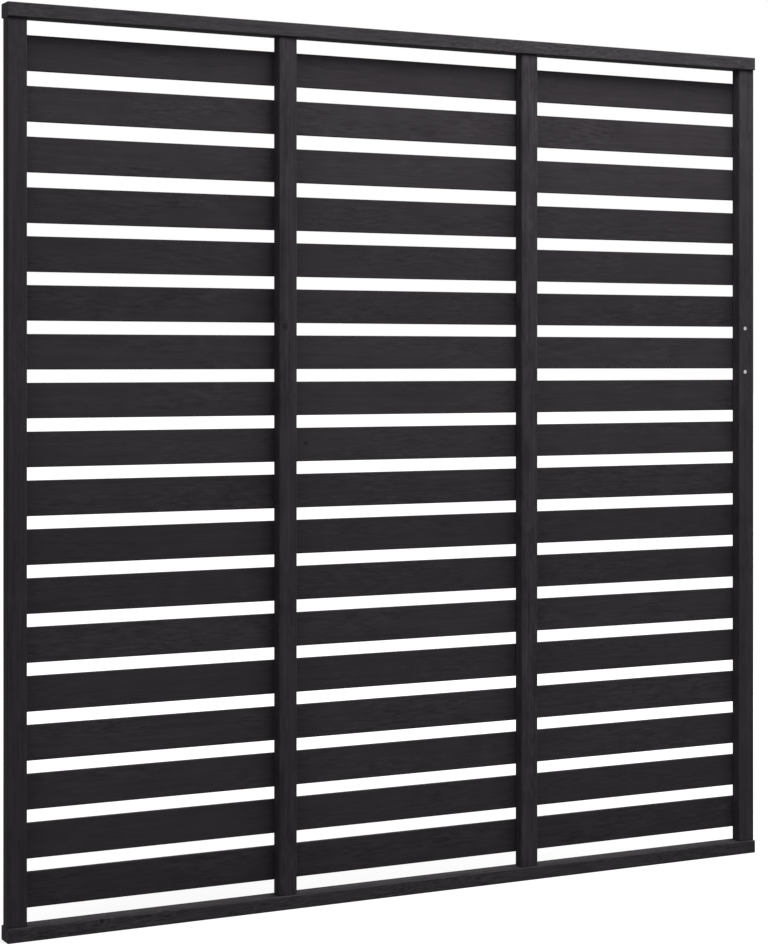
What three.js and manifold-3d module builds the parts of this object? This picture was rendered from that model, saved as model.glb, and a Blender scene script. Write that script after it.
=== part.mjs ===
// Garden privacy screen: two capping rails, four posts between them, and horizontal slats
// nailed across the back of the posts, so that the slats run unbroken behind all three bays.
//
// Millimetres. +X runs along the screen, -Y is its front and +Z is up. The origin is the middle
// of the frame's footprint, on the underside of the bottom rail.

import * as THREE from "three";
import { mergeVertices } from "three/addons/utils/BufferGeometryUtils.js";
import Module from "manifold-3d";

const wasm = await Module();
wasm.setup();

// ---- Driving dimensions ----------------------------------------------------------------------

// The screen as a whole.
const SCREEN_HEIGHT = 1800;
const SCREEN_LENGTH = 1750;

// The rails lie flat over the posts' ends. The posts and slats set how deep a rail has to be.
const RAIL_THICKNESS = 28;
const RAIL_FRONT_OVERHANG = 5;

// The posts stand at even spacing, the outer two flush with the rails' ends.
const POST_NAMES = ["left_post", "left_middle_post", "right_middle_post", "right_post"];
const POST_WIDTH = 40;
const POST_DEPTH = 28;

// The slats are set out upwards from the bottom rail with a spacer block. The last few gaps,
// under the top slat, share what the spacer leaves over.
const SLAT_HEIGHT = 69;
const SLAT_THICKNESS = 9;
const SLAT_END_INSET = 5;
const SLAT_SPACER = 25.5;
const SLAT_CLOSING_GAPS = 3;
const RAIL_TO_SLAT_GAP = 29;

// Eased edges, from the moulder.
const FRAME_ARRIS_RADIUS = 2.5;
const SLAT_ARRIS_RADIUS = 1.5;
const ARRIS_FACET_PAIRS = 2;

// Countersunk wood screws that hold each rail to the ends of the posts, two to a post.
const FRAME_SCREW_SHANK_DIAMETER = 4.5;
const FRAME_SCREW_HEAD_DIAMETER = 9;
const FRAME_SCREW_HEAD_SINK = 0.8;
const FRAME_SCREW_BITE_IN_POST = 42;

// Two shorter countersunk screws in the front of the right post, at about mid height.
const FRONT_SCREW_SHANK_DIAMETER = 4;
const FRONT_SCREW_HEAD_DIAMETER = 8;
const FRONT_SCREW_WOOD_BEHIND_TIP = 3;
const FRONT_SCREW_LOWER_HEIGHT = 1089;
const FRONT_SCREW_SPACING = 98;
const FRONT_SCREW_FROM_SCREEN_END = 24;

// What all the screws share.
const SCREW_HEAD_RIM = 0.6;
const SCREW_POINT_LENGTH = 6;
const SCREW_FACETS = 16;
const DRIVE_ARM_SHARE_OF_HEAD = 0.3;
const DRIVE_ARM_WIDTH = 1.2;
const DRIVE_DEPTH = 1.8;

// Clearances.
const SEAT_GAP = 0.3;
const SCREW_CLEARANCE = 0.3;

// ---- Sizes and places that follow from them ---------------------------------------------------

const railDepth = RAIL_FRONT_OVERHANG + POST_DEPTH + SEAT_GAP + SLAT_THICKNESS;
const railFrontY = -railDepth / 2;
const railBackY = railDepth / 2;

const postHeight = SCREEN_HEIGHT - 2 * (RAIL_THICKNESS + SEAT_GAP);
const postFrontY = railFrontY + RAIL_FRONT_OVERHANG;
const postMiddleY = postFrontY + POST_DEPTH / 2;
const postSpacing = (SCREEN_LENGTH - POST_WIDTH) / (POST_NAMES.length - 1);

const slatLength = SCREEN_LENGTH - 2 * SLAT_END_INSET;
const slatMiddleY = railBackY - SLAT_THICKNESS / 2;

// ---- Finishes ---------------------------------------------------------------------------------

const railStain = new THREE.MeshStandardMaterial({ color: 0x3a383b, roughness: 0.7, metalness: 0 });
const postStain = new THREE.MeshStandardMaterial({ color: 0x343235, roughness: 0.7, metalness: 0 });
const slatStain = new THREE.MeshStandardMaterial({ color: 0x2f2d30, roughness: 0.75, metalness: 0 });
const zincPlate = new THREE.MeshStandardMaterial({ color: 0xc9ccd0, roughness: 0.35, metalness: 1 });

// ---- Solids -----------------------------------------------------------------------------------

// A closed geometry as a solid that can be cut.
function solidOf(geometry) {
  const shell = geometry.clone();
  shell.deleteAttribute("normal");
  shell.deleteAttribute("uv");
  const welded = mergeVertices(shell);
  return new wasm.Manifold(
    new wasm.Mesh({
      numProp: 3,
      vertProperties: welded.attributes.position.array,
      triVerts: new Uint32Array(welded.index.array),
    }),
  );
}

// A solid as a flat-shaded geometry.
function geometryOf(solid) {
  const { vertProperties, triVerts } = solid.getMesh();
  const welded = new THREE.BufferGeometry();
  welded.setAttribute("position", new THREE.BufferAttribute(vertProperties, 3));
  welded.setIndex(new THREE.BufferAttribute(triVerts, 1));
  const geometry = welded.toNonIndexed();
  geometry.computeVertexNormals();
  return geometry;
}

// ---- Timber -----------------------------------------------------------------------------------

// A planed section with its four long edges rounded over, centred on the origin.
function easedSection(width, height, radius) {
  const section = new THREE.Shape();
  const corners = [
    [1, -1],
    [1, 1],
    [-1, 1],
    [-1, -1],
  ];
  corners.forEach(([sideX, sideY], quarter) => {
    const start = (quarter - 1) * (Math.PI / 2);
    const middleX = sideX * (width / 2 - radius);
    const middleY = sideY * (height / 2 - radius);
    section.absarc(middleX, middleY, radius, start, start + Math.PI / 2);
  });
  section.closePath();
  return section;
}

// A length of that section, centred on the origin along Z.
function plankGeometry(section, length) {
  const settings = { depth: length, bevelEnabled: false, curveSegments: ARRIS_FACET_PAIRS };
  return new THREE.ExtrudeGeometry(section, settings).translate(0, 0, -length / 2);
}

// Turns a plank to lie along X, with its section's width along Y and its height along Z.
function layAlongScreen(mesh) {
  mesh.rotation.set(Math.PI / 2, Math.PI / 2, 0);
}

function makeRail(name, middleZ) {
  const section = easedSection(railDepth, RAIL_THICKNESS, FRAME_ARRIS_RADIUS);
  const rail = new THREE.Mesh(plankGeometry(section, SCREEN_LENGTH), railStain.clone());
  rail.name = name;
  layAlongScreen(rail);
  rail.position.set(0, 0, middleZ);
  return rail;
}

function makePosts() {
  const section = easedSection(POST_WIDTH, POST_DEPTH, FRAME_ARRIS_RADIUS);
  return POST_NAMES.map((name, index) => {
    const post = new THREE.Mesh(plankGeometry(section, postHeight), postStain.clone());
    const middleX = postSpacing * (index - (POST_NAMES.length - 1) / 2);
    post.name = name;
    post.position.set(middleX, postMiddleY, SCREEN_HEIGHT / 2);
    return post;
  });
}

// The height of each slat's middle, from the lowest slat to the highest.
function slatHeights() {
  const field = SCREEN_HEIGHT - 2 * (RAIL_THICKNESS + RAIL_TO_SLAT_GAP);
  const count = Math.floor((field + SLAT_SPACER) / (SLAT_HEIGHT + SLAT_SPACER));
  const closingGaps = Math.min(SLAT_CLOSING_GAPS, count - 1);
  const spacerGaps = count - 1 - closingGaps;
  const closingGap = (field - count * SLAT_HEIGHT - spacerGaps * SLAT_SPACER) / closingGaps;
  const heights = [];
  let underside = RAIL_THICKNESS + RAIL_TO_SLAT_GAP;
  for (let index = 0; index < count; index += 1) {
    heights.push(underside + SLAT_HEIGHT / 2);
    underside += SLAT_HEIGHT + (index < spacerGaps ? SLAT_SPACER : closingGap);
  }
  return heights;
}

function makeSlats() {
  const section = easedSection(SLAT_THICKNESS, SLAT_HEIGHT, SLAT_ARRIS_RADIUS);
  return slatHeights().map((middleZ, index) => {
    const slat = new THREE.Mesh(plankGeometry(section, slatLength), slatStain.clone());
    slat.name = `slat_${String(index + 1).padStart(2, "0")}`;
    layAlongScreen(slat);
    slat.position.set(0, slatMiddleY, middleZ);
    return slat;
  });
}

// ---- Screws -----------------------------------------------------------------------------------

// A screw's sizes: the countersunk head, the plain shank and the whole length.
const frameScrew = {
  headRadius: FRAME_SCREW_HEAD_DIAMETER / 2,
  shankRadius: FRAME_SCREW_SHANK_DIAMETER / 2,
  length: RAIL_THICKNESS - FRAME_SCREW_HEAD_SINK + FRAME_SCREW_BITE_IN_POST,
};
const frontScrew = {
  headRadius: FRONT_SCREW_HEAD_DIAMETER / 2,
  shankRadius: FRONT_SCREW_SHANK_DIAMETER / 2,
  length: POST_DEPTH - FRONT_SCREW_WOOD_BEHIND_TIP,
};

// A turned form with its flat top at z = 0 and its point down the -Z axis. It is the screw when
// clearance is 0. A larger clearance gives the countersunk hole that the screw sits in, whose
// mouth then reaches up past the head by as much as mouthRise.
function turnedScrew({ headRadius, shankRadius, length }, clearance, mouthRise) {
  const coneDepth = headRadius - shankRadius;
  const shank = shankRadius + clearance;
  const head = headRadius + clearance;
  const profile = [
    new THREE.Vector2(0, -length - clearance),
    new THREE.Vector2(shank, -length + SCREW_POINT_LENGTH - clearance),
    new THREE.Vector2(shank, -SCREW_HEAD_RIM - coneDepth - clearance),
    new THREE.Vector2(head, -SCREW_HEAD_RIM - clearance),
    new THREE.Vector2(head, mouthRise),
    new THREE.Vector2(0, mouthRise),
  ];
  return new THREE.LatheGeometry(profile, SCREW_FACETS).rotateX(Math.PI / 2);
}

// The cross-shaped drive recess, sunk into the head from above.
function driveRecess({ headRadius }) {
  const arm = headRadius * 2 * DRIVE_ARM_SHARE_OF_HEAD;
  const half = DRIVE_ARM_WIDTH / 2;
  const cross = new THREE.Shape();
  const quarter = [new THREE.Vector2(arm, -half), new THREE.Vector2(arm, half), new THREE.Vector2(half, half)];
  const outline = [];
  for (let turn = 0; turn < 4; turn += 1) {
    for (const corner of quarter) {
      outline.push(corner.clone().rotateAround(new THREE.Vector2(), (turn * Math.PI) / 2));
    }
  }
  cross.setFromPoints(outline);
  const settings = { depth: 2 * DRIVE_DEPTH, bevelEnabled: false };
  return new THREE.ExtrudeGeometry(cross, settings).translate(0, 0, -DRIVE_DEPTH);
}

function makeScrew(name, sizes) {
  const body = solidOf(turnedScrew(sizes, 0, 0));
  const recess = solidOf(driveRecess(sizes));
  const screw = new THREE.Mesh(geometryOf(body.subtract(recess)), zincPlate.clone());
  screw.name = name;
  screw.userData.sizes = sizes;
  return screw;
}

// Two screws down through the top rail and two up through the bottom rail, at the quarter
// points of a post's width.
function makeFrameScrews(post) {
  const screws = [];
  const ends = [
    { name: "top", headZ: SCREEN_HEIGHT - FRAME_SCREW_HEAD_SINK, turn: 0 },
    { name: "bottom", headZ: FRAME_SCREW_HEAD_SINK, turn: Math.PI },
  ];
  for (const end of ends) {
    for (const side of [-1, 1]) {
      const sideName = side < 0 ? "left" : "right";
      const screw = makeScrew(`${post.name}_${end.name}_screw_${sideName}`, frameScrew);
      screw.position.set(post.position.x + (side * POST_WIDTH) / 4, postMiddleY, end.headZ);
      screw.rotation.x = end.turn;
      screws.push(screw);
    }
  }
  return screws;
}

// The two screws in the front of the right post, with their heads flush.
function makeFrontScrews() {
  return ["lower", "upper"].map((place, index) => {
    const screw = makeScrew(`front_screw_${place}`, frontScrew);
    const headX = SCREEN_LENGTH / 2 - FRONT_SCREW_FROM_SCREEN_END;
    screw.position.set(headX, postFrontY, FRONT_SCREW_LOWER_HEIGHT + index * FRONT_SCREW_SPACING);
    screw.rotation.x = Math.PI / 2;
    return screw;
  });
}

// Drills and countersinks a timber for each of the screws, from where the screws stand.
function drillFor(timber, screws) {
  timber.updateMatrix();
  const intoTimber = timber.matrix.clone().invert();
  const mouthRise = FRAME_SCREW_HEAD_SINK + SCREW_CLEARANCE;
  let solid = solidOf(timber.geometry);
  for (const screw of screws) {
    screw.updateMatrix();
    const hole = turnedScrew(screw.userData.sizes, SCREW_CLEARANCE, mouthRise);
    hole.applyMatrix4(screw.matrix).applyMatrix4(intoTimber);
    solid = solid.subtract(solidOf(hole));
  }
  timber.geometry = geometryOf(solid);
}

// ---- Assembly ---------------------------------------------------------------------------------

const topRail = makeRail("top_rail", SCREEN_HEIGHT - RAIL_THICKNESS / 2);
const bottomRail = makeRail("bottom_rail", RAIL_THICKNESS / 2);
const posts = makePosts();
const slats = makeSlats();
const frameScrews = posts.flatMap(makeFrameScrews);
const frontScrews = makeFrontScrews();

const screws = [...frameScrews, ...frontScrews];
for (const timber of [topRail, bottomRail, ...posts]) {
  drillFor(timber, screws);
}

const screen = new THREE.Group();
screen.add(topRail, bottomRail, ...posts, ...slats, ...screws);

export default screen;
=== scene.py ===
"""Garden privacy screen of black-stained softwood, dressed for rendering.

Two capping rails and four posts make the frame. Slats run unbroken across its back, nailed to
each post. The timbers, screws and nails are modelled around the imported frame, in metres, with
+X along the screen, -Y to its front and +Z up.
"""

import logging
import math
import random
from contextlib import contextmanager
from dataclasses import dataclass
from enum import Enum
from typing import Any, Callable, Iterator

import bmesh
import bpy
from bpy.types import Material, Node, NodeSocket, NodeTree, Object
from mathutils import Matrix, Vector


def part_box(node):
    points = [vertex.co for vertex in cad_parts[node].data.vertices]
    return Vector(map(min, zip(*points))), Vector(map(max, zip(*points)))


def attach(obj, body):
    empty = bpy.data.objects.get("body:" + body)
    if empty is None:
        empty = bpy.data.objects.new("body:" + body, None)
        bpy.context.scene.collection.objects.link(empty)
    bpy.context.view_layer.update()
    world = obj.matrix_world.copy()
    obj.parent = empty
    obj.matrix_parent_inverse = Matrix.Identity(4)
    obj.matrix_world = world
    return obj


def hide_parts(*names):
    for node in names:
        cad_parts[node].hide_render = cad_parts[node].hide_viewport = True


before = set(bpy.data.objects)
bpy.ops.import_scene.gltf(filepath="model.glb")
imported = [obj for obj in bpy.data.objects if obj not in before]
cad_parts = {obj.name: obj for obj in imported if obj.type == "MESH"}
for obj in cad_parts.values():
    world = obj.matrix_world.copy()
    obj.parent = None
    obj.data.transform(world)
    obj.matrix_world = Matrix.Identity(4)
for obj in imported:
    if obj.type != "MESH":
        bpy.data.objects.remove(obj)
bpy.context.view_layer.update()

LOG = logging.getLogger("privacy_screen")

MM = 0.001
BODY = "root"

RAIL_NODES = ("top_rail", "bottom_rail")
POST_NODES = ("left_post", "left_middle_post", "right_middle_post", "right_post")
SLAT_NODES = tuple(sorted(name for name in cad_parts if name.startswith("slat_")))

# Middle of the range that a noise or wave texture gives.
MIDDLE = 0.5
# What a Map Range node takes, in order.
RANGE = ("Value", "From Min", "From Max", "To Min", "To Max")
# A Mix node's sockets: two vectors and their mix, and two colours and theirs.
VECTOR_A, VECTOR_B, MIXED_VECTOR = 4, 5, 1
COLOUR_A, COLOUR_B, MIXED_COLOUR = 6, 7, 2
# How near two places are that count as one.
HAIR = 0.01 * MM
# How squarely a face looks one way that counts as facing it.
SQUARELY = 0.9
# Bevel profile of a round edge, and the steps in one on steel.
ROUND = 0.5
STEEL_STEPS = 2
# The angle from which an edge stays sharp.
TIMBER_SHARP = math.radians(35)
STEEL_SHARP = math.radians(30)
# The weight at which a board's large faces stay flat.
FLAT_WEIGHT = 100


# ---- The frame's boxes ----


def box_size(node: str) -> Vector:
    """Gives the size of a node's box."""
    low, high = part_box(node)
    return high - low


def box_middle(node: str) -> Vector:
    """Gives the middle of a node's box."""
    low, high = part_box(node)
    return (low + high) / 2


# ---- Colour and nodes ----


def linear(srgb_hex: str) -> tuple[float, float, float, float]:
    """Turns an sRGB colour into the linear one that a shader takes.

    Args:
        srgb_hex: Six hex digits, such as "2F2D30".

    Returns:
        Linear red, green, blue and an alpha of 1.
    """
    toe, slope, offset, gamma = 0.04045, 12.92, 0.055, 2.4
    channels = [int(srgb_hex[start:start + 2], 16) / 255 for start in (0, 2, 4)]
    made = [c / slope if c <= toe else ((c + offset) / (1 + offset)) ** gamma for c in channels]
    return (made[0], made[1], made[2], 1.0)


def add_node(
    tree: NodeTree, kind: str, inputs: dict[int | str, Any] | None = None, **settings: Any
) -> Node:
    """Adds one node, with its settings and what feeds it.

    Args:
        tree: The node tree that gets the node.
        kind: The node's type name.
        inputs: Socket name or index to a value, or to another node's output to link.
        **settings: The node's own properties.

    Returns:
        The new node.
    """
    node = tree.nodes.new(kind)
    for name, value in settings.items():
        setattr(node, name, value)
    for socket, value in (inputs or {}).items():
        if isinstance(value, NodeSocket):
            tree.links.new(value, node.inputs[socket])
        else:
            node.inputs[socket].default_value = value
    return node


def blank_material(name: str) -> Material:
    """Makes a material with an empty node tree.

    Args:
        name: The material's name.

    Returns:
        The material.
    """
    material = bpy.data.materials.new(name)
    material.use_nodes = True
    material.node_tree.nodes.clear()
    return material


# ---- Finishes ----


class Mark(Enum):
    """What every point of a board carries, for its finish to read."""

    GRAIN = "board_grain"
    EDGE = "board_edge"
    TONE = "board_tone"
    VIGOUR = "board_vigour"


@dataclass(frozen=True)
class Figure:
    """One layer of a board's figure, such as its fibres: soft marks drawn out along the grain.

    Attributes:
        length_mm: Length of the marks.
        width_mm: Their width.
        share: How strongly they show, as a share of the range from deepest to thinnest stain.
    """

    length_mm: float
    width_mm: float
    share: float

    # Finer layers of noise that break the marks up, and how strongly they do.
    OCTAVES = 2.0
    BREAKING = 0.55

    def add_to(self, tree: NodeTree, grain: NodeSocket) -> NodeSocket:
        """Adds the layer to a material.

        Args:
            tree: The material's node tree.
            grain: Place in the board, with X along its fibres.

        Returns:
            A value from -0.5 to 0.5, about 0 on average.
        """
        along, across = 1 / (self.length_mm * MM), 1 / (self.width_mm * MM)
        stretch = add_node(
            tree, "ShaderNodeMapping", {"Vector": grain, "Scale": (along, across, across)}
        )
        settings = {"Scale": 1.0, "Detail": self.OCTAVES, "Roughness": self.BREAKING}
        marks = add_node(tree, "ShaderNodeTexNoise", {"Vector": stretch.outputs[0], **settings})
        centred = add_node(
            tree, "ShaderNodeMath", {0: marks.outputs[0], 1: MIDDLE}, operation="SUBTRACT"
        )
        return centred.outputs[0]


@dataclass(frozen=True)
class StainedSoftwood:
    """Spruce or pine under a thin black stain, which lets the grain show as a faint relief.

    The stain gives a near-black with a trace of violet. It lies thinner on the hard late wood,
    so growth rings and fibres read a little lighter, and it gathers round the knots.

    Attributes:
        name: The material's name.
        deep: Where the stain lies thickest.
        worn: Where it lies thinnest.
        fibres: The fine fibres. Real ones are about 0.3 mm wide, so these are drawn coarser, to
            show at a step away.
        streaks: Long bands of lighter and darker stain.
        tufts: The raised tufts that the saw or planer leaves, which come in patches.
        clouds: Broad soft patches where the wood drank more stain or less.
        ring_mm: Spacing of the growth rings.
        ring_share: How strongly they show.
        tone_share: How strongly one board's tone differs from the next.
        vigour: How much more or less strongly than usual a board may show its figure.
        edge_wear_and_highlight: Lighter rounded edges, of worn stain and painted arris highlight.
        roughness: Mean roughness of the dry stain.
        relief_mm: Height of the whole relief.
        lone_knot: Place in metres of the one knot that shows on an upright board, or none.
    """

    name: str
    deep: str
    worn: str
    fibres: Figure
    streaks: Figure
    tufts: Figure
    clouds: Figure
    ring_mm: float
    ring_share: float
    tone_share: float
    vigour: float
    edge_wear_and_highlight: float
    roughness: float
    relief_mm: float
    lone_knot: tuple[float, float, float] | None = None

    # Tufts and streaks come and go in patches. The patches' edges are soft between these values.
    PATCHES = Figure(220, 55, 1.0)
    PATCH_EDGES = (-0.1, 0.1)
    # A layer's strength outside the patches and inside them.
    TUFT_PATCHES = (0.25, 1.5)
    STREAK_PATCHES = (1.3, 0.6)
    # The knots' usual spacing and radius, and how strongly their rims take up stain.
    KNOT_SPACING = 240 * MM
    KNOT_RADIUS = 7 * MM
    KNOT_SHARE = 0.55
    # How far the heart, the rim and the parted grain reach, in the knot's radii, and the share
    # of each reach that is at full strength.
    HEART_REACH = 0.6
    RIM_REACH = 1.0
    PARTING_REACH = 2.4
    SPOT_CORE = 0.3
    # Near a knot the grain comes from this far along the way to its heart, so that it parts.
    PARTING = 0.8
    # Bends in a metre, along the fibres and across them, and how wide the grain wanders.
    WANDER_SCALE = (2.2, 9.0, 9.0)
    WANDER = 9 * MM
    # Each mark's share of the relief.
    FIBRE_RELIEF = 0.4
    TUFT_RELIEF = 0.5
    RING_RELIEF = 0.2
    HEART_RELIEF = 0.3
    # How much rougher than the mean thick stain is, and how much smoother thin stain is.
    DRYNESS = 0.08
    # Dry stain bends light as wood finishes do, and has hardly any gloss.
    IOR = 1.5
    GLOSS = 0.02

    def from_knot(self, tree: NodeTree, grain: NodeSocket) -> NodeSocket:
        """Adds the way from the nearest knot's heart to here.

        Args:
            tree: The material's node tree.
            grain: Place in the board.

        Returns:
            The way in metres, with X along the fibres.
        """
        spacing = {"Vector": grain, "Scale": 1 / self.KNOT_SPACING}
        hearts = add_node(tree, "ShaderNodeTexVoronoi", spacing).outputs["Position"]
        way = add_node(tree, "ShaderNodeVectorMath", {0: grain, 1: hearts}, operation="SUBTRACT")
        if self.lone_knot is None:
            return way.outputs[0]
        place = add_node(tree, "ShaderNodeTexCoord")
        lone = add_node(
            tree,
            "ShaderNodeVectorMath",
            {0: place.outputs["Object"], 1: self.lone_knot},
            operation="SUBTRACT",
        )
        # A third of a turn about this axis lays an upright board down, with its Z along X.
        laid = add_node(
            tree,
            "ShaderNodeVectorRotate",
            {"Vector": lone.outputs[0], "Axis": (1, 1, 1), "Angle": math.tau / 3},
        )
        to_lone, to_next = (
            add_node(tree, "ShaderNodeVectorMath", {0: vector}, operation="LENGTH")
            for vector in (laid.outputs[0], way.outputs[0])
        )
        lengths = {0: to_lone.outputs["Value"], 1: to_next.outputs["Value"]}
        further = add_node(tree, "ShaderNodeMath", lengths, operation="GREATER_THAN")
        nearest = add_node(
            tree,
            "ShaderNodeMix",
            {"Factor": further.outputs[0], VECTOR_A: laid.outputs[0], VECTOR_B: way.outputs[0]},
            data_type="VECTOR",
        )
        return nearest.outputs[MIXED_VECTOR]

    def knot_spot(self, tree: NodeTree, way: NodeSocket, reach: float) -> NodeSocket:
        """Adds soft round spots about the knots.

        Args:
            tree: The material's node tree.
            way: The way from the nearest knot's heart.
            reach: The spots' radius, as a multiple of the knots' own.

        Returns:
            1 at a knot's heart, falling to 0 at its reach.
        """
        edge = reach * self.KNOT_RADIUS
        away = add_node(tree, "ShaderNodeVectorMath", {0: way}, operation="LENGTH")
        fade = dict(zip(RANGE, (away.outputs["Value"], edge, self.SPOT_CORE * edge)))
        spot = add_node(tree, "ShaderNodeMapRange", fade, interpolation_type="SMOOTHSTEP")
        return spot.outputs[0]

    def flow(self, tree: NodeTree, grain: NodeSocket, way: NodeSocket) -> NodeSocket:
        """Bends the grain: it wanders along the board and parts round the knots.

        Args:
            tree: The material's node tree.
            grain: Place in the board.
            way: The way from the nearest knot's heart.

        Returns:
            The place in a straight board whose figure shows here.
        """
        lazy = add_node(tree, "ShaderNodeMapping", {"Vector": grain, "Scale": self.WANDER_SCALE})
        drift = add_node(
            tree,
            "ShaderNodeTexNoise",
            {"Vector": lazy.outputs[0], "Scale": 1.0, "Detail": Figure.OCTAVES},
        )
        centred = add_node(
            tree,
            "ShaderNodeVectorMath",
            {0: drift.outputs["Color"], 1: (MIDDLE,) * 3},
            operation="SUBTRACT",
        )
        wandered = add_node(
            tree,
            "ShaderNodeVectorMath",
            {0: centred.outputs[0], 1: (self.WANDER,) * 3, 2: grain},
            operation="MULTIPLY_ADD",
        )
        inward = add_node(
            tree,
            "ShaderNodeVectorMath",
            {0: way, 1: (0.0, -self.PARTING, -self.PARTING)},
            operation="MULTIPLY",
        )
        near = self.knot_spot(tree, way, self.PARTING_REACH)
        bent = add_node(
            tree,
            "ShaderNodeVectorMath",
            {0: inward.outputs[0], 1: near, 2: wandered.outputs[0]},
            operation="MULTIPLY_ADD",
        )
        return bent.outputs[0]

    def rings(self, tree: NodeTree, flow: NodeSocket) -> NodeSocket:
        """Adds growth rings about the board's pith.

        Args:
            tree: The material's node tree.
            flow: Place in the board, with its grain bent.

        Returns:
            A value from -0.5 to 0.5, rising across each ring.
        """
        # At a scale of 1 the wave texture repeats after this distance.
        wave_period = math.tau / 20
        wave = add_node(
            tree,
            "ShaderNodeTexWave",
            {"Vector": flow, "Scale": wave_period / (self.ring_mm * MM)},
            wave_type="RINGS",
            rings_direction="X",
            wave_profile="SAW",
        )
        centred = add_node(
            tree, "ShaderNodeMath", {0: wave.outputs["Fac"], 1: MIDDLE}, operation="SUBTRACT"
        )
        return centred.outputs[0]

    def patched(
        self, tree: NodeTree, layer: NodeSocket, patches: NodeSocket, strengths: tuple[float, float]
    ) -> NodeSocket:
        """Makes a layer come and go in patches.

        Args:
            tree: The material's node tree.
            layer: The layer.
            patches: What tells the patches apart.
            strengths: The layer's strength outside and inside them.

        Returns:
            The layer at its new strength.
        """
        fade = dict(zip(RANGE, (patches, *self.PATCH_EDGES, *strengths)))
        strength = add_node(tree, "ShaderNodeMapRange", fade, interpolation_type="SMOOTHSTEP")
        scaled = add_node(
            tree, "ShaderNodeMath", {0: layer, 1: strength.outputs[0]}, operation="MULTIPLY"
        )
        return scaled.outputs[0]

    @staticmethod
    def blend(tree: NodeTree, start: float, shares: dict[NodeSocket, float]) -> NodeSocket:
        """Adds up layers, each times its share.

        Args:
            tree: The material's node tree.
            start: What they are added to.
            shares: Each layer and its share.

        Returns:
            The sum.
        """
        level: Any = start
        for layer, share in shares.items():
            level = add_node(
                tree, "ShaderNodeMath", {0: layer, 1: share, 2: level}, operation="MULTIPLY_ADD"
            ).outputs[0]
        return level

    def layers(self, tree: NodeTree, grain: NodeSocket, way: NodeSocket) -> dict[str, NodeSocket]:
        """Adds the layers of a board's figure.

        Args:
            tree: The material's node tree.
            grain: Place in the board.
            way: The way from the nearest knot's heart.

        Returns:
            Each layer by its name, about 0 on average.
        """
        flow = self.flow(tree, grain, way)
        patches = self.PATCHES.add_to(tree, grain)
        streaks = self.streaks.add_to(tree, flow)
        tufts = self.tufts.add_to(tree, flow)
        return {
            "fibres": self.fibres.add_to(tree, flow),
            "streaks": self.patched(tree, streaks, patches, self.STREAK_PATCHES),
            "tufts": self.patched(tree, tufts, patches, self.TUFT_PATCHES),
            "clouds": self.clouds.add_to(tree, grain),
            "rings": self.rings(tree, flow),
        }

    def thinness(
        self, tree: NodeTree, board: dict[Mark, Node], layers: dict[str, NodeSocket], rim: NodeSocket
    ) -> NodeSocket:
        """Adds how thin the stain lies.

        Args:
            tree: The material's node tree.
            board: What the board's points carry.
            layers: The layers of its figure.
            rim: Strength of the rims of its knots.

        Returns:
            0 where it lies thickest, to 1 where it lies thinnest.
        """
        shares = {
            layers["fibres"]: self.fibres.share,
            layers["streaks"]: self.streaks.share,
            layers["tufts"]: self.tufts.share,
            layers["clouds"]: self.clouds.share,
            layers["rings"]: self.ring_share,
        }
        vigour = board[Mark.VIGOUR].outputs["Fac"]
        span = dict(zip(RANGE, (vigour, 0, 1, 1 - self.vigour, 1 + self.vigour)))
        strength = add_node(tree, "ShaderNodeMapRange", span)
        figure = add_node(
            tree,
            "ShaderNodeMath",
            {0: self.blend(tree, 0.0, shares), 1: strength.outputs[0]},
            operation="MULTIPLY",
        )
        whole = {
            figure.outputs[0]: 1.0,
            board[Mark.TONE].outputs["Fac"]: self.tone_share,
            # Lighter rounded edges: partly worn stain, partly a painted highlight on the arrises.
            board[Mark.EDGE].outputs["Fac"]: self.edge_wear_and_highlight,
            rim: -self.KNOT_SHARE,
        }
        level = self.blend(tree, (1 - self.tone_share) / 2, whole)
        return add_node(tree, "ShaderNodeClamp", {"Value": level}).outputs[0]

    def material(self) -> Material:
        """Builds the finish, for boards that mark_grain has marked.

        Returns:
            The material.
        """
        material = blank_material(self.name)
        tree = material.node_tree
        board = {
            mark: add_node(tree, "ShaderNodeAttribute", attribute_name=mark.value) for mark in Mark
        }
        grain = board[Mark.GRAIN].outputs["Vector"]
        way = self.from_knot(tree, grain)
        heart = self.knot_spot(tree, way, self.HEART_REACH)
        knot = self.knot_spot(tree, way, self.RIM_REACH)
        rim = add_node(tree, "ShaderNodeMath", {0: knot, 1: heart}, operation="SUBTRACT")
        layers = self.layers(tree, grain, way)
        thinness = self.thinness(tree, board, layers, rim.outputs[0])
        stained = add_node(
            tree,
            "ShaderNodeMix",
            {"Factor": thinness, COLOUR_A: linear(self.deep), COLOUR_B: linear(self.worn)},
            data_type="RGBA",
        )

        relief = {
            layers["fibres"]: self.FIBRE_RELIEF,
            layers["tufts"]: self.TUFT_RELIEF,
            layers["rings"]: self.RING_RELIEF,
            heart: self.HEART_RELIEF,
        }
        height = self.blend(tree, 0.0, relief)
        bump = add_node(
            tree,
            "ShaderNodeBump",
            {"Strength": 1.0, "Distance": self.relief_mm * MM, "Height": height},
        )
        rough, fine = self.roughness + self.DRYNESS, self.roughness - self.DRYNESS
        dryness = add_node(
            tree, "ShaderNodeMapRange", dict(zip(RANGE, (thinness, 0, 1, rough, fine)))
        )
        shader = add_node(
            tree,
            "ShaderNodeBsdfPrincipled",
            {
                "Base Color": stained.outputs[MIXED_COLOUR],
                "Roughness": dryness.outputs[0],
                "Normal": bump.outputs[0],
                "IOR": self.IOR,
                "Specular IOR Level": self.GLOSS,
            },
        )
        add_node(tree, "ShaderNodeOutputMaterial", {"Surface": shader.outputs[0]})
        return material


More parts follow.
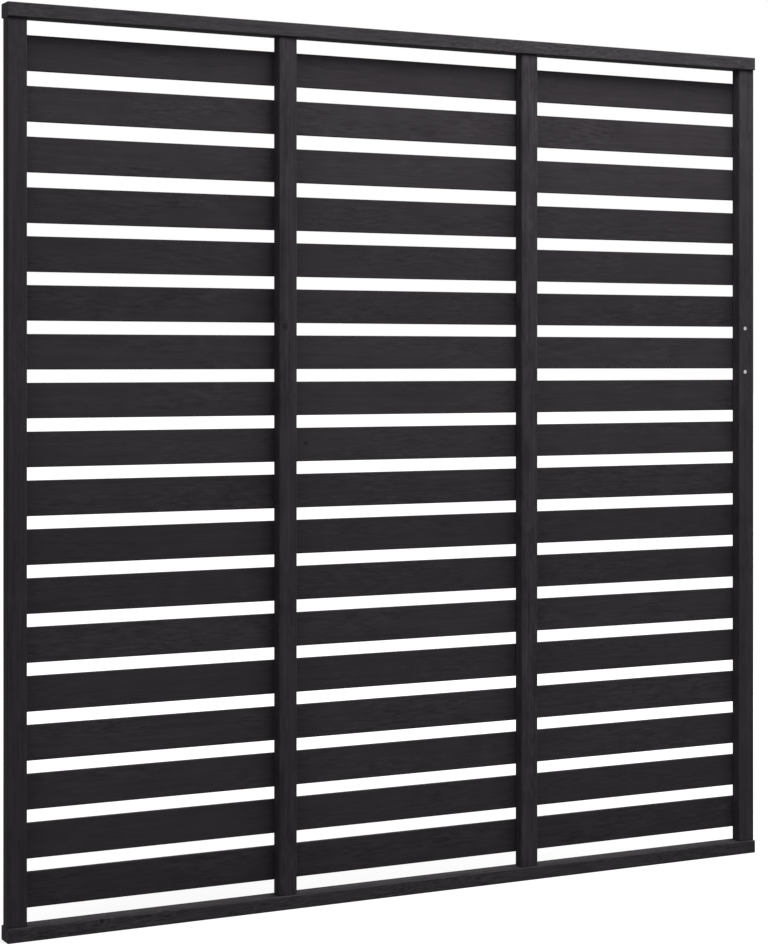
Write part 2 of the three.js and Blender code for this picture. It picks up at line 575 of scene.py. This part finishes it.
@dataclass(frozen=True)
class ZincPlate:
    """Bright zinc plate on steel, which gives small cool glints with a faintly mottled sheen.

    Attributes:
        name: The material's name.
        bright: The clean plate.
        dull: Where it has started to bloom.
        bloom_mm: Size of the bloomed patches.
        roughness: Mean roughness of the plate.
    """

    name: str
    bright: str
    dull: str
    bloom_mm: float
    roughness: float

    # Finer layers of bloom, and how far its roughness strays from the mean.
    OCTAVES = 3.0
    HAZE = 0.1

    def material(self) -> Material:
        """Builds the finish on object coordinates.

        Returns:
            The material.
        """
        material = blank_material(self.name)
        tree = material.node_tree
        place = add_node(tree, "ShaderNodeTexCoord").outputs["Object"]
        settings = {"Scale": 1 / (self.bloom_mm * MM), "Detail": self.OCTAVES}
        bloom = add_node(tree, "ShaderNodeTexNoise", {"Vector": place, **settings}).outputs[0]
        plate = add_node(
            tree,
            "ShaderNodeMix",
            {"Factor": bloom, COLOUR_A: linear(self.bright), COLOUR_B: linear(self.dull)},
            data_type="RGBA",
        )
        low, high = self.roughness - self.HAZE, self.roughness + self.HAZE
        haze = add_node(tree, "ShaderNodeMapRange", dict(zip(RANGE, (bloom, 0, 1, low, high))))
        colour = plate.outputs[MIXED_COLOUR]
        shader = add_node(
            tree,
            "ShaderNodeBsdfPrincipled",
            {"Base Color": colour, "Roughness": haze.outputs[0], "Metallic": 1.0},
        )
        add_node(tree, "ShaderNodeOutputMaterial", {"Surface": shader.outputs[0]})
        return material


# ---- Modelling aids ----


def pick(*pieces: Object) -> None:
    """Selects these pieces alone.

    Args:
        *pieces: The pieces, of which the first becomes the active one.
    """
    bpy.ops.object.select_all(action="DESELECT")
    for piece in pieces:
        piece.select_set(True)
    bpy.context.view_layer.objects.active = pieces[0]


@contextmanager
def editing(piece: Object, kind: str) -> Iterator[None]:
    """Opens a piece in edit mode and closes it again.

    Args:
        piece: The piece to edit.
        kind: What is selected by, "EDGE" or "FACE".
    """
    pick(piece)
    bpy.ops.object.mode_set(mode="EDIT")
    bpy.ops.mesh.select_mode(type=kind)
    yield
    bpy.ops.object.mode_set(mode="OBJECT")


def choose_edges(piece: Object, wanted: Callable[[Vector, Vector], bool]) -> None:
    """Selects edges by their place and nothing else, in edit mode.

    Args:
        piece: The piece that is being edited.
        wanted: Takes an edge's two ends, and tells whether to select it.
    """
    bpy.ops.mesh.select_all(action="DESELECT")
    mesh = bmesh.from_edit_mesh(piece.data)
    for edge in mesh.edges:
        if wanted(edge.verts[0].co, edge.verts[1].co):
            edge.select_set(True)
    bmesh.update_edit_mesh(piece.data)


def choose_underside(piece: Object) -> None:
    """Selects the faces that look down and nothing else, in edit mode.

    Args:
        piece: The piece that is being edited.
    """
    bpy.ops.mesh.select_all(action="DESELECT")
    mesh = bmesh.from_edit_mesh(piece.data)
    for face in mesh.faces:
        if face.normal.z < -SQUARELY:
            face.select_set(True)
    bmesh.update_edit_mesh(piece.data)


def ease(radius: float, steps: int) -> None:
    """Rounds the selected edges, in edit mode."""
    bpy.ops.mesh.bevel(offset=radius, segments=steps, profile=ROUND, affect="EDGES")


def settle(piece: Object) -> None:
    """Moves a piece's place, turn and scale into its mesh, so that its object sits at the origin."""
    pick(piece)
    bpy.ops.object.transform_apply(location=True, rotation=True, scale=True)


def smooth(piece: Object, sharp: float) -> None:
    """Shades a piece smooth, apart from edges that turn by more than the angle sharp."""
    pick(piece)
    bpy.ops.object.shade_smooth_by_angle(angle=sharp)


def copy_of(model: Object, name: str, place: Matrix) -> Object:
    """Copies a model with a mesh of its own.

    Args:
        model: The finished model.
        name: The copy's name.
        place: Where the copy's mesh goes.

    Returns:
        The copy, with its object at the origin.
    """
    piece = model.copy()
    piece.data = model.data.copy()
    piece.name = name
    piece.data.name = name
    bpy.context.collection.objects.link(piece)
    piece.data.transform(place)
    return piece


def discard(*pieces: Object) -> None:
    """Removes models and cutters that have done their work."""
    for piece in pieces:
        bpy.data.objects.remove(piece, do_unlink=True)


def apply_modifier(piece: Object, kind: str, **settings: Any) -> None:
    """Adds a modifier to a piece and applies it.

    Args:
        piece: The piece.
        kind: The modifier's type.
        **settings: The modifier's own properties.
    """
    pick(piece)
    modifier = piece.modifiers.new(kind.lower(), kind)
    for name, value in settings.items():
        setattr(modifier, name, value)
    bpy.ops.object.modifier_apply(modifier=modifier.name)


def combine(piece: Object, other: Object, operation: str) -> None:
    """Cuts another form out of a piece, or joins it on, and removes the other.

    Args:
        piece: The piece.
        other: The other form.
        operation: "DIFFERENCE" or "UNION".
    """
    apply_modifier(piece, "BOOLEAN", operation=operation, object=other, solver="EXACT")
    discard(other)


def dress(piece: Object, material: Material, slot: str, *nodes: str) -> None:
    """Gives a piece its finish, and ties it to the frame.

    Args:
        piece: The finished piece.
        material: Its material.
        slot: Names the record's material slot for its finish; it is not used.
        *nodes: The nodes that it stands for.
    """
    piece.data.materials.clear()
    piece.data.materials.append(material)
    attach(piece, BODY)
    if nodes:
        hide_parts(*nodes)
    LOG.info("%s: %d faces", piece.name, len(piece.data.polygons))


# ---- Timber ----


class Grain(Enum):
    """Which way a board's fibres run once it is in the screen."""

    ALONG = "along the screen"
    UP = "upright"

    @property
    def turn(self) -> Matrix:
        """Turns a board that lies along X to this grain.

        Returns:
            The turn, which takes X to Z, Y to X and Z to Y for an upright board.
        """
        if self is Grain.ALONG:
            return Matrix.Identity(4)
        return Matrix(((0, 1, 0, 0), (0, 0, 1, 0), (1, 0, 0, 0), (0, 0, 0, 1)))


@dataclass
class Board:
    """One kind of timber, modelled with its fibres along X and its middle on the origin.

    Attributes:
        name: What the model is called.
        node: A node of that size.
        grain: Which way the node's fibres run.
        arris: Radius of its four long edges.
        rows: Strips that its height is divided into.
        stations: Cuts along its length.
    """

    name: str
    node: str
    grain: Grain
    arris: float
    rows: int
    stations: int

    ARRIS_STEPS = 5
    END_EASING = 0.6 * MM
    END_STEPS = 2

    def model(self) -> Object:
        """Shapes a block into the board, with eased edges and enough cuts to bow.

        Returns:
            The board.
        """
        size = self.grain.turn.inverted().to_3x3() @ box_size(self.node)
        half = size / 2
        bpy.ops.mesh.primitive_cube_add(size=1.0, scale=size)
        piece = bpy.context.object
        piece.name = self.name
        settle(piece)
        with editing(piece, "EDGE"):
            choose_edges(piece, lambda a, b: abs(a.x - b.x) > half.x)
            ease(self.arris, self.ARRIS_STEPS)
            choose_edges(piece, lambda a, b: abs(a.x - b.x) < HAIR and abs(a.x) > half.x - HAIR)
            ease(self.END_EASING, self.END_STEPS)
            if self.rows > 1:
                choose_edges(piece, lambda a, b: abs(a.z - b.z) > half.z)
                bpy.ops.mesh.subdivide(number_cuts=self.rows - 1)
            choose_edges(piece, lambda a, b: abs(a.x - b.x) > half.x)
            bpy.ops.mesh.subdivide(number_cuts=self.stations)
        return piece


# Where a board lies from its log's pith: how far along it, to its side and above it.
PITH_ALONG = (0, 40)
PITH_SIDE = (-30 * MM, 30 * MM)
PITH_RISE = (30 * MM, 80 * MM)


def mark_grain(piece: Object, node: str, grain: Grain, arris: float, seed: int) -> None:
    """Writes where each point lies in its log, how near an edge, and the board's tone and vigour.

    Args:
        piece: The finished board.
        node: The node that it stands for.
        grain: Which way its fibres run.
        arris: Radius of its long edges.
        seed: Chooses the log, the tone and the vigour.
    """
    draw = random.Random(seed)
    laid = grain.turn.inverted() @ Matrix.Translation(-box_middle(node))
    half = grain.turn.inverted().to_3x3() @ box_size(node) / 2
    pith = Vector([draw.uniform(*span) for span in (PITH_ALONG, PITH_SIDE, PITH_RISE)])
    places = [laid @ point.co for point in piece.data.vertices]
    # On a long edge, a point is as deep under one face as under the next.
    uneven = [abs((half.y - abs(place.y)) - (half.z - abs(place.z))) for place in places]
    marks = {
        Mark.GRAIN: ("FLOAT_VECTOR", "vector", [c for place in places for c in place + pith]),
        Mark.EDGE: ("FLOAT", "value", [max(0.0, 1 - gap / arris) for gap in uneven]),
        Mark.TONE: ("FLOAT", "value", [draw.random()] * len(places)),
        Mark.VIGOUR: ("FLOAT", "value", [draw.random()] * len(places)),
    }
    for mark, (kind, field, values) in marks.items():
        piece.data.attributes.new(mark.value, kind, "POINT").data.foreach_set(field, values)


def finish_timber(piece: Object) -> None:
    """Smooths a board's rounded edges and keeps its faces flat."""
    smooth(piece, TIMBER_SHARP)
    apply_modifier(piece, "WEIGHTED_NORMAL", keep_sharp=True, weight=FLAT_WEIGHT)


# ---- Screws ----


class Aim(Enum):
    """Which way a screw is driven."""

    DOWN = "down"
    UP = "up"
    BACK = "back"

    def place(self, node: str) -> Matrix:
        """Finds the place of a screw that is modelled driven down, with its head at the origin.

        Args:
            node: The screw's node.

        Returns:
            The turn and place of its head.
        """
        low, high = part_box(node)
        middle = box_middle(node)
        if self is Aim.DOWN:
            return Matrix.Translation((middle.x, middle.y, high.z))
        if self is Aim.UP:
            return Matrix.Translation((middle.x, middle.y, low.z)) @ Matrix.Rotation(math.pi, 4, "X")
        return Matrix.Translation((middle.x, low.y, middle.z)) @ Matrix.Rotation(math.pi / 2, 4, "X")


@dataclass
class Screw:
    """A countersunk wood screw, modelled with its head's top at the origin and its point down.

    Attributes:
        name: What the model is called.
        head: Radius of the head.
        shank: Radius of the shank.
        length: Whole length.
    """

    name: str
    head: float
    shank: float
    length: float

    SIDES = 32
    EASING = 0.15 * MM
    # Depth of the head's rim, length of the point, and the share of the shank left at its tip.
    RIM = 0.6 * MM
    POINT = 6 * MM
    POINT_TIP = 0.08
    # The drive's cross: its share of the head, and the share of it left at its bottom.
    DRIVE_WIDTH = 1.2 * MM
    DRIVE_DEPTH = 1.8 * MM
    DRIVE_SPAN = 0.6
    DRIVE_TAPER = 0.55
    # How much larger a hole is all round, and how far its cutter reaches above the head.
    CLEARANCE = 0.3 * MM
    MOUTH = 1.5 * MM

    def turned(self, name: str, grown: float, rise: float) -> Object:
        """Turns the screw's form: rim, countersunk cone, shank and point.

        Args:
            name: The piece's name.
            grown: How much larger than the screw it is all round.
            rise: How far its rim reaches above the head's top.

        Returns:
            The closed form.
        """
        cone = self.head - self.shank
        rim_depth = self.RIM + grown
        bpy.ops.mesh.primitive_cylinder_add(
            vertices=self.SIDES,
            radius=self.head + grown,
            depth=rim_depth + rise,
            location=(0, 0, (rise - rim_depth) / 2),
        )
        piece = bpy.context.object
        piece.name = name
        settle(piece)
        shank = self.shank + grown
        steps = (
            (cone, shank / (self.head + grown)),
            (self.length - self.RIM - cone - self.POINT, 1.0),
            (self.POINT, self.POINT_TIP),
        )
        with editing(piece, "FACE"):
            choose_underside(piece)
            depth = -rim_depth
            for drop, shrink in steps:
                depth -= drop
                bpy.ops.mesh.extrude_region_move(TRANSFORM_OT_translate={"value": (0, 0, -drop)})
                bpy.ops.transform.resize(value=(shrink, shrink, 1), center_override=(0, 0, depth))
        return piece

    def drive_cutter(self) -> Object:
        """Makes the cross that sinks the drive recess, tapering as it goes down.

        Returns:
            The closed cross.
        """
        span = 2 * self.head * self.DRIVE_SPAN
        taper = (self.DRIVE_TAPER, self.DRIVE_TAPER, 1)
        arms = []
        for angle in (0, math.pi / 2):
            bpy.ops.mesh.primitive_cube_add(
                size=1.0, scale=(span, self.DRIVE_WIDTH, 2 * self.DRIVE_DEPTH)
            )
            arm = bpy.context.object
            settle(arm)
            arm.data.transform(Matrix.Rotation(angle, 4, "Z"))
            with editing(arm, "FACE"):
                choose_underside(arm)
                bpy.ops.transform.resize(value=taper, center_override=(0, 0, -self.DRIVE_DEPTH))
            arms.append(arm)
        combine(arms[0], arms[1], "UNION")
        return arms[0]

    def model(self) -> Object:
        """Models the whole screw, with an eased head and its drive recess.

        Returns:
            The screw.
        """
        piece = self.turned(self.name, 0.0, 0.0)
        with editing(piece, "EDGE"):
            choose_edges(piece, lambda a, b: min(a.z, b.z) > -HAIR)
            ease(self.EASING, STEEL_STEPS)
        combine(piece, self.drive_cutter(), "DIFFERENCE")
        smooth(piece, STEEL_SHARP)
        return piece

    def hole(self, place: Matrix) -> Object:
        """Makes the cutter for the countersunk hole that the screw sits in.

        Args:
            place: The turn and place of the screw's head.

        Returns:
            The closed cutter.
        """
        cutter = self.turned("hole", self.CLEARANCE, self.MOUTH)
        cutter.data.transform(place)
        return cutter


@dataclass
class DrivenScrew:
    """A screw at its place in the screen.

    Attributes:
        node: The node that it stands for.
        kind: Its kind.
        aim: Which way it is driven.
    """

    node: str
    kind: Screw
    aim: Aim

    @property
    def place(self) -> Matrix:
        """Where its head is, and which way it points."""
        return self.aim.place(self.node)


@dataclass
class Screws:
    """All the screws: two through each rail into each post's end, and two in the right post's front.

    Attributes:
        frame_shank: Shank radius of the screws that hold the frame.
        front_shank: Shank radius of the two in the front.
    """

    frame_shank: float = 2.25 * MM
    front_shank: float = 2.0 * MM

    FRONT_NODES = ("front_screw_lower", "front_screw_upper")

    def driven(self) -> list[DrivenScrew]:
        """Lists every screw with its kind and aim.

        Returns:
            The screws, with sizes from their nodes' boxes.
        """
        frame_size = box_size(f"{POST_NODES[-1]}_top_screw_left")
        front_size = box_size(self.FRONT_NODES[0])
        frame_kind = Screw("frame_screw", frame_size.x / 2, self.frame_shank, frame_size.z)
        front_kind = Screw("front_screw", front_size.x / 2, self.front_shank, front_size.y)
        found = []
        for post in POST_NODES:
            for end, aim in (("top", Aim.DOWN), ("bottom", Aim.UP)):
                for side in ("left", "right"):
                    found.append(DrivenScrew(f"{post}_{end}_screw_{side}", frame_kind, aim))
        found += [DrivenScrew(node, front_kind, Aim.BACK) for node in self.FRONT_NODES]
        return found

    def build(self, plate: Material) -> None:
        """Models each kind once and sets a copy at every place.

        Args:
            plate: The screws' finish.
        """
        models: dict[str, Object] = {}
        for screw in self.driven():
            if screw.kind.name not in models:
                models[screw.kind.name] = screw.kind.model()
            piece = copy_of(models[screw.kind.name], f"{screw.node}_turned", screw.place)
            dress(piece, plate, "zinc_screw", screw.node)
        discard(*models.values())


def drill(piece: Object, node: str, screws: list[DrivenScrew]) -> None:
    """Cuts a timber's countersunk holes for the screws that reach into it.

    Args:
        piece: The timber, in place.
        node: The node that it stands for.
        screws: Screws that may or may not touch it.
    """
    low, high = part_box(node)
    for screw in screws:
        first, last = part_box(screw.node)
        if any(last[i] < low[i] or first[i] > high[i] for i in range(3)):
            continue
        combine(piece, screw.kind.hole(screw.place), "DIFFERENCE")


# ---- The frame and its slats ----


@dataclass
class FrameTimbers:
    """The two rails and the four posts.

    Attributes:
        rail_arris: Radius of the rails' eased edges.
        post_arris: Radius of the posts' eased edges.
        stations: Cuts along each one's length.
    """

    rail_arris: float = 2.0 * MM
    post_arris: float = 3.0 * MM
    stations: int = 24

    # Seeds of the first rail's and the first post's log.
    FIRST_RAIL_LOG = 16
    FIRST_POST_LOG = 196745

    def build(self, screws: list[DrivenScrew], rail_stain: Material, post_stain: Material) -> None:
        """Builds, drills and dresses the rails, then the posts.

        Args:
            screws: The screws that they are drilled for.
            rail_stain: The rails' finish.
            post_stain: The posts' finish.
        """
        kinds = (
            ("rail", RAIL_NODES, Grain.ALONG, self.rail_arris, rail_stain, self.FIRST_RAIL_LOG),
            ("post", POST_NODES, Grain.UP, self.post_arris, post_stain, self.FIRST_POST_LOG),
        )
        for kind, nodes, grain, arris, stain, first_log in kinds:
            model = Board(kind, nodes[0], grain, arris, rows=1, stations=self.stations).model()
            for index, node in enumerate(nodes):
                place = Matrix.Translation(box_middle(node)) @ grain.turn
                piece = copy_of(model, f"{node}_timber", place)
                drill(piece, node, screws)
                finish_timber(piece)
                mark_grain(piece, node, grain, arris, seed=first_log + index)
                dress(piece, stain, f"{kind}_timber", node)
            discard(model)


@dataclass
class Slats:
    """The horizontal slats, each a little bowed between the posts that it is nailed to.

    Attributes:
        arris: Radius of their eased edges.
        bow: How far a slat may stand off backwards between two posts.
        crook: How far its edges may run up or down.
        rows: Strips that each one's height is divided into.
        stations: Cuts along its length.
    """

    arris: float = 1.5 * MM
    bow: float = 0.25 * MM
    crook: float = 0.5 * MM
    rows: int = 4
    stations: int = 72

    # Seeds of the first slat's log, and of its bow and crook.
    FIRST_LOG = 8797
    FIRST_SPRING = 200

    def spring(self, piece: Object, seed: int) -> None:
        """Bows a slat between the posts, as thin boards do when they dry.

        Args:
            piece: The slat, in place.
            seed: Chooses its bow and crook.
        """
        draw = random.Random(seed)
        half = max(point.co.x for point in piece.data.vertices)
        bays = len(POST_NODES) - 1
        bows = [draw.uniform(0, self.bow) for _ in range(bays)]
        sway = draw.uniform(-self.crook, self.crook)
        phase = draw.uniform(0, math.tau)
        for point in piece.data.vertices:
            along = (point.co.x / half + 1) / 2
            bay = min(int(along * bays), bays - 1)
            point.co.y += bows[bay] * math.sin(math.pi * (along * bays - bay)) ** 2
            point.co.z += sway * math.sin(math.pi * along) * math.cos(math.pi * along + phase)

    def build(self, stain: Material) -> None:
        """Models one slat and sets a sprung copy at every place.

        Args:
            stain: The slats' finish.
        """
        grain = Grain.ALONG
        kind = Board("slat", SLAT_NODES[0], grain, self.arris, self.rows, self.stations)
        model = kind.model()
        for index, node in enumerate(SLAT_NODES):
            piece = copy_of(model, f"{node}_board", Matrix.Translation(box_middle(node)))
            finish_timber(piece)
            mark_grain(piece, node, grain, self.arris, seed=self.FIRST_LOG + index)
            self.spring(piece, seed=self.FIRST_SPRING + index)
            dress(piece, stain, "slat_timber", node)
        discard(model)


@dataclass
class Nails:
    """The nails that hold the slats, two at each post, driven from the back.

    Attributes:
        head: Radius of the head.
        shank: Radius of the shank.
        length: Whole length.
        proud: How far the head stands off the slat.
        spread: Height between a crossing's two nails.
        stagger: How far one of them is set to the side of the other.
        slip: How far off its mark a nail may be.
    """

    head: float = 2.6 * MM
    shank: float = 1.1 * MM
    length: float = 32 * MM
    proud: float = 0.4 * MM
    spread: float = 40 * MM
    stagger: float = 12 * MM
    slip: float = 1.2 * MM

    SIDES = 12
    HEAD_DEPTH = 0.8 * MM
    EASING = 0.25 * MM
    SEED = 7

    def model(self) -> Object:
        """Models one nail with its head's top at the origin and its point down.

        Returns:
            The nail.
        """
        bpy.ops.mesh.primitive_cylinder_add(
            vertices=self.SIDES,
            radius=self.head,
            depth=self.HEAD_DEPTH,
            location=(0, 0, -self.HEAD_DEPTH / 2),
        )
        piece = bpy.context.object
        piece.name = "nail"
        settle(piece)
        with editing(piece, "FACE"):
            choose_underside(piece)
            bpy.ops.mesh.inset(thickness=self.head - self.shank)
            bpy.ops.mesh.extrude_region_move(
                TRANSFORM_OT_translate={"value": (0, 0, self.HEAD_DEPTH - self.length)}
            )
        with editing(piece, "EDGE"):
            choose_edges(piece, lambda a, b: min(a.z, b.z) > -HAIR)
            ease(self.EASING, STEEL_STEPS)
        smooth(piece, STEEL_SHARP)
        return piece

    def build(self, plate: Material) -> None:
        """Nails every slat to every post, and joins each slat's nails as one piece.

        Args:
            plate: The nails' finish.
        """
        model = self.model()
        draw = random.Random(self.SEED)
        driven_in = Matrix.Rotation(-math.pi / 2, 4, "X")
        for node in SLAT_NODES:
            low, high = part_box(node)
            nails = []
            for post in POST_NODES:
                post_low, post_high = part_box(post)
                for side in (-1, 1):
                    aside, above = (draw.uniform(-self.slip, self.slip) for _ in range(2))
                    spot = Vector((
                        (post_low.x + post_high.x + side * self.stagger) / 2 + aside,
                        high.y + self.proud,
                        (low.z + high.z + side * self.spread) / 2 + above,
                    ))
                    place = Matrix.Translation(spot) @ driven_in
                    nails.append(copy_of(model, f"{node}_nails", place))
            pick(*nails)
            bpy.ops.object.join()
            dress(nails[0], plate, "zinc_screw")
        discard(model)


# ---- Studio ----


@dataclass(frozen=True)
class Softbox:
    """A soft oblong lamp, aimed a little to the right of the screen's middle and above it.

    Attributes:
        name: The lamp's name.
        stand: Where it hangs.
        size: Its length and width.
        power: Its power in watts.
    """

    name: str
    stand: tuple[float, float, float]
    size: tuple[float, float]
    power: float

    TARGET = (0.2, 0.0, 1.0)

    def hang(self) -> None:
        """Adds the lamp to the scene."""
        lamp = bpy.data.lights.new(self.name, "AREA")
        lamp.shape = "RECTANGLE"
        lamp.size, lamp.size_y = self.size
        lamp.energy = self.power
        aim = Vector(self.TARGET) - Vector(self.stand)
        hung = bpy.data.objects.new(self.name, lamp)
        hung.location = self.stand
        hung.rotation_euler = aim.to_track_quat("-Z", "Y").to_euler()
        bpy.context.collection.objects.link(hung)


@dataclass
class Studio:
    """A pale floor in even light, with two soft lamps in front, one behind, and the camera.

    Attributes:
        floor_half: Half the floor's side.
        floor_paint: The floor's colour, as other things are lit by it.
        floor_lift: What the floor adds for the camera near the screen and far from it, so that
            it reads as white and still keeps a trace of the screen's shadow.
        lift_reach: Where the near lift starts to give way to the far one, and where it ends.
        sky: Strength of the even light from all round.
        lens: The camera's focal length, in millimetres.
        stand: Where the camera is.
        heading: How far it looks to the right of straight on, in degrees.
        drop: How far the frame is shifted, as a share of its longer side. Below 0 is down.
    """

    floor_half: float = 60.0
    floor_paint: str = "A0A0A0"
    floor_lift: tuple[float, float] = (0.75, 1.0)
    lift_reach: tuple[float, float] = (1.2, 3.0)
    sky: float = 0.47
    lens: float = 85.0
    stand: tuple[float, float, float] = (-2.1779, -4.1414, 1.1114)
    heading: float = 27.102
    drop: float = -0.11746

    LAMPS = (
        Softbox("key", stand=(0.8, -0.95, 3.3), size=(2.2, 0.8), power=95.0),
        Softbox("left", stand=(-1.6, -0.95, 3.3), size=(0.9, 0.8), power=17.0),
        Softbox("back", stand=(1.4, 2.4, 2.8), size=(2.0, 1.2), power=60.0),
    )
    WHITE = (1.0, 1.0, 1.0, 1.0)

    @staticmethod
    def seen(tree: NodeTree) -> NodeSocket:
        """Adds a value that tells which rays show the white backdrop.

        Args:
            tree: The node tree.

        Returns:
            1 for the camera's own rays and those that are mirrored or pass through, otherwise 0.
        """
        path = add_node(tree, "ShaderNodeLightPath")
        rays = path.outputs["Is Camera Ray"]
        for kind in ("Is Glossy Ray", "Is Transmission Ray"):
            either = {0: rays, 1: path.outputs[kind]}
            rays = add_node(tree, "ShaderNodeMath", either, operation="MAXIMUM").outputs[0]
        return rays

    def lay_floor(self) -> None:
        """Lays a floor in pale matt paint, which has no gloss and keeps the screen's shadow."""
        bpy.ops.mesh.primitive_plane_add(size=2 * self.floor_half)
        floor = bpy.context.object
        floor.name = "floor"
        material = blank_material("matt_floor_paint")
        tree = material.node_tree
        paint = add_node(tree, "ShaderNodeBsdfDiffuse", {"Color": linear(self.floor_paint)})
        place = add_node(tree, "ShaderNodeTexCoord").outputs["Object"]
        away = add_node(tree, "ShaderNodeVectorMath", {0: place}, operation="LENGTH")
        fade = dict(zip(RANGE, (away.outputs["Value"], *self.lift_reach, *self.floor_lift)))
        white = add_node(tree, "ShaderNodeMapRange", fade)
        lift = add_node(
            tree, "ShaderNodeMath", {0: self.seen(tree), 1: white.outputs[0]}, operation="MULTIPLY"
        )
        glow = add_node(tree, "ShaderNodeEmission", {"Strength": lift.outputs[0]})
        both = add_node(tree, "ShaderNodeAddShader", {0: paint.outputs[0], 1: glow.outputs[0]})
        add_node(tree, "ShaderNodeOutputMaterial", {"Surface": both.outputs[0]})
        floor.data.materials.append(material)

    def light(self) -> None:
        """Sets the even light and hangs the lamps."""
        world = bpy.data.worlds.new("studio")
        world.use_nodes = True
        tree = world.node_tree
        tree.nodes.clear()
        span = dict(zip(RANGE, (self.seen(tree), 0, 1, self.sky, 1)))
        strength = add_node(tree, "ShaderNodeMapRange", span)
        even = add_node(
            tree, "ShaderNodeBackground", {"Color": self.WHITE, "Strength": strength.outputs[0]}
        )
        add_node(tree, "ShaderNodeOutputWorld", {"Surface": even.outputs[0]})
        bpy.context.scene.world = world
        for softbox in self.LAMPS:
            softbox.hang()

    def set_camera(self) -> None:
        """Stands the camera where the photograph was taken from."""
        view = bpy.data.cameras.new("camera")
        view.lens = self.lens
        view.shift_y = self.drop
        view.clip_end = 4 * self.floor_half
        camera = bpy.data.objects.new("camera", view)
        camera.location = self.stand
        camera.rotation_euler = (math.pi / 2, 0, -math.radians(self.heading))
        bpy.context.collection.objects.link(camera)
        bpy.context.scene.camera = camera

    def build(self) -> None:
        """Sets the whole studio and the plain view transform."""
        self.set_camera()
        self.lay_floor()
        self.light()
        bpy.context.scene.view_settings.view_transform = "Standard"


# ---- Build ----

# Planed spruce, black stain: short crisp fibres that catch the light along the rails.
RAIL_STAIN = StainedSoftwood(
    name="planed_spruce_black_stain_rail",
    deep="0C090C",
    worn="4B484B",
    fibres=Figure(36, 1.7, 0.75),
    streaks=Figure(220, 8, 0.24),
    tufts=Figure(14, 3.6, 0.6),
    clouds=Figure(60, 30, 0.1),
    ring_mm=3.5,
    ring_share=0.12,
    tone_share=0.05,
    vigour=0.0,
    edge_wear_and_highlight=0.15,
    roughness=0.82,
    relief_mm=0.3,
)
# Planed spruce, black stain: long bands up the posts, bolder on one post than on the next.
POST_STAIN = StainedSoftwood(
    name="planed_spruce_black_stain_post",
    deep="181418",
    worn="423F42",
    fibres=Figure(90, 2.0, 0.36),
    streaks=Figure(300, 8, 0.45),
    tufts=Figure(24, 5, 0.42),
    clouds=Figure(70, 30, 0.45),
    ring_mm=3.5,
    ring_share=0.15,
    tone_share=0.15,
    vigour=0.5,
    edge_wear_and_highlight=0.05,
    roughness=0.76,
    relief_mm=0.3,
    lone_knot=(-0.2923, -0.0162, 1.184),
)
# Sawn spruce, black stain: soft ragged tufts in patches, on a calm ground.
SLAT_STAIN = StainedSoftwood(
    name="sawn_spruce_black_stain_slat",
    deep="201C20",
    worn="3F3C3F",
    fibres=Figure(70, 2.0, 0.24),
    streaks=Figure(260, 9, 0.25),
    tufts=Figure(30, 5.5, 0.55),
    clouds=Figure(70, 45, 0.28),
    ring_mm=3.0,
    ring_share=0.12,
    tone_share=0.16,
    vigour=0.35,
    edge_wear_and_highlight=0.15,
    roughness=0.78,
    relief_mm=0.35,
)
# Electroplated steel: the heads of the screws and nails read as small bright dots.
SCREW_PLATE = ZincPlate(
    name="zinc_plated_steel", bright="D3D6DA", dull="A9ADB3", bloom_mm=1.5, roughness=0.34
)


def main() -> None:
    """Builds the studio, the frame, the slats, and the screws and nails that hold them."""
    logging.basicConfig(level=logging.INFO, format="%(name)s %(message)s")
    Studio().build()
    plate = SCREW_PLATE.material()
    screws = Screws()
    FrameTimbers().build(screws.driven(), RAIL_STAIN.material(), POST_STAIN.material())
    Slats().build(SLAT_STAIN.material())
    screws.build(plate)
    Nails().build(plate)


if __name__ == "__main__":
    main()
